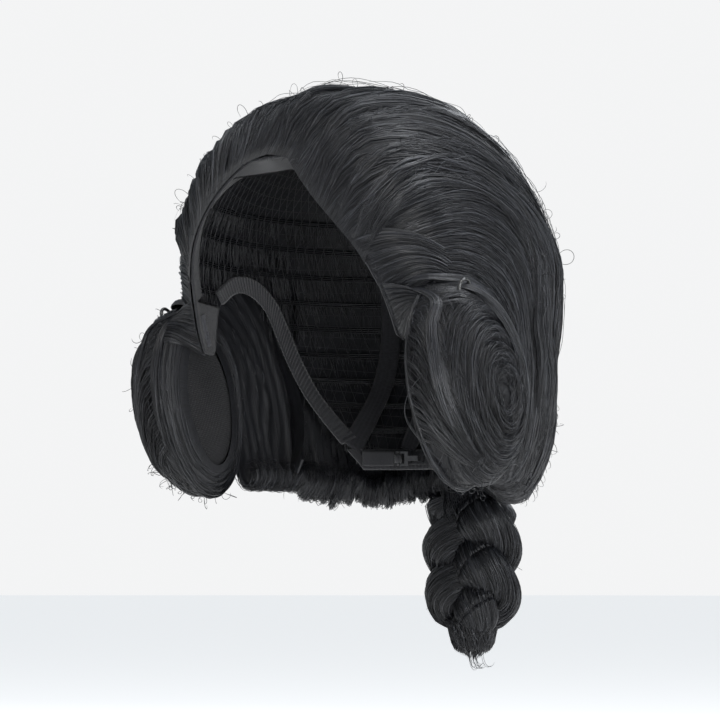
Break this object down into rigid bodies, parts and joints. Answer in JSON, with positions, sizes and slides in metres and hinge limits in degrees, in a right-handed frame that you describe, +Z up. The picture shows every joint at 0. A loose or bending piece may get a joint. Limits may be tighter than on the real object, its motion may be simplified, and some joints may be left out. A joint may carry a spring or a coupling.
{
  "type": "costume wig",
  "caption": "Black swept-back costume wig on an open net cap, with a padded roll over each ear, a short thick braid at the nape and adjustable nape straps.",
  "frame": {"origin": "centre of the head opening at ear level, on the cap's middle plane", "axes": "+Z up through the crown, the face opening looks along -Y, +X is the wearer's left"},
  "size_m": [0.248, 0.1905, 0.2885],
  "materials": {
    "net": "black stretch net",
    "band_lace": "black lace ribbon",
    "elastic": "black woven elastic",
    "weft": "machine-stitched weft heads",
    "parting": "skin-toned lace",
    "label": "blank woven tag",
    "stay": "clear-grey springy plastic",
    "hook": "black nylon",
    "hair": "black synthetic hair fibre with a cool sheen",
    "pad": "black mesh hair pad",
    "pin": "black lacquered wire",
    "hair_tie": "black thread-wrapped elastic"
  },
  "bodies": {
    "cap": {"crown_net": "net", "front_band": "band_lace", "nape_band": "elastic", "cap_ribbons": "band_lace", "weft_tracks": "weft", "parting_strip": "parting", "size_label": "label", "loop_tape": "elastic", "crown_hair": "hair", "back_hair": "hair", "nape_roll": "hair", "left_ear_tab": "band_lace", "left_ear_tab_stay": "stay", "left_side_band": "elastic", "left_front_hair": "hair", "left_side_roll": "hair", "left_roll_pad": "pad", "right_ear_tab": "band_lace", "right_ear_tab_stay": "stay", "right_side_band": "elastic", "right_front_hair": "hair", "right_side_roll": "hair", "right_roll_pad": "pad"},
    "left_adjuster": {"left_adjuster_strap": "elastic"},
    "left_hook": {"left_adjuster_hook": "hook"},
    "left_top_pin": {"left_top_hairpin": "pin"},
    "left_rear_pin": {"left_rear_hairpin": "pin"},
    "right_adjuster": {"right_adjuster_strap": "elastic"},
    "right_hook": {"right_adjuster_hook": "hook"},
    "right_top_pin": {"right_top_hairpin": "pin"},
    "right_rear_pin": {"right_rear_hairpin": "pin"},
    "braid_upper": {"braid_upper": "hair", "braid_root_tie": "hair_tie"},
    "braid_middle": {"braid_middle": "hair"},
    "braid_tail": {"braid_tail": "hair", "braid_end_tie": "hair_tie"}
  },
  "joints": [
    {"name": "left_adjuster_pull", "type": "hinge", "parent": "cap", "child": "left_adjuster", "pos_m": [0, 0.013, -0.044], "axis": [0, 0, 1], "range_deg": [-5, 7]},
    {"name": "left_hook_pivot", "type": "hinge", "parent": "left_adjuster", "child": "left_hook", "pos_m": [0.0227, 0.05755, -0.044], "axis": [0, 0, 1], "range_deg": [0, 55]},
    {"name": "left_top_pin_pull", "type": "slide", "parent": "cap", "child": "left_top_pin", "axis": [0.26, -0.12, 0.9581], "range_m": [0, 0.05]},
    {"name": "left_rear_pin_pull", "type": "slide", "parent": "cap", "child": "left_rear_pin", "axis": [0.2209, 0.974, -0.0502], "range_m": [0, 0.05]},
    {"name": "right_adjuster_pull", "type": "hinge", "parent": "cap", "child": "right_adjuster", "pos_m": [0, 0.013, -0.044], "axis": [0, 0, -1], "range_deg": [-5, 7]},
    {"name": "right_hook_pivot", "type": "hinge", "parent": "right_adjuster", "child": "right_hook", "pos_m": [-0.0227, 0.05755, -0.044], "axis": [0, 0, -1], "range_deg": [0, 55]},
    {"name": "right_top_pin_pull", "type": "slide", "parent": "cap", "child": "right_top_pin", "axis": [-0.26, -0.12, 0.9581], "range_m": [0, 0.05]},
    {"name": "right_rear_pin_pull", "type": "slide", "parent": "cap", "child": "right_rear_pin", "axis": [-0.2209, 0.974, -0.0502], "range_m": [0, 0.05]},
    {"name": "braid_swing", "type": "hinge", "parent": "cap", "child": "braid_upper", "pos_m": [0, 0.093, -0.0575], "axis": [1, 0, 0], "range_deg": [-18, 30]},
    {"name": "braid_sway", "type": "hinge", "parent": "braid_upper", "child": "braid_middle", "pos_m": [0, 0.093, -0.08855], "axis": [0, 1, 0], "range_deg": [-15, 15]},
    {"name": "braid_tip_bend", "type": "hinge", "parent": "braid_middle", "child": "braid_tail", "pos_m": [0, 0.093, -0.11125], "axis": [1, 0, 0], "range_deg": [-22, 22]}
  ]
}
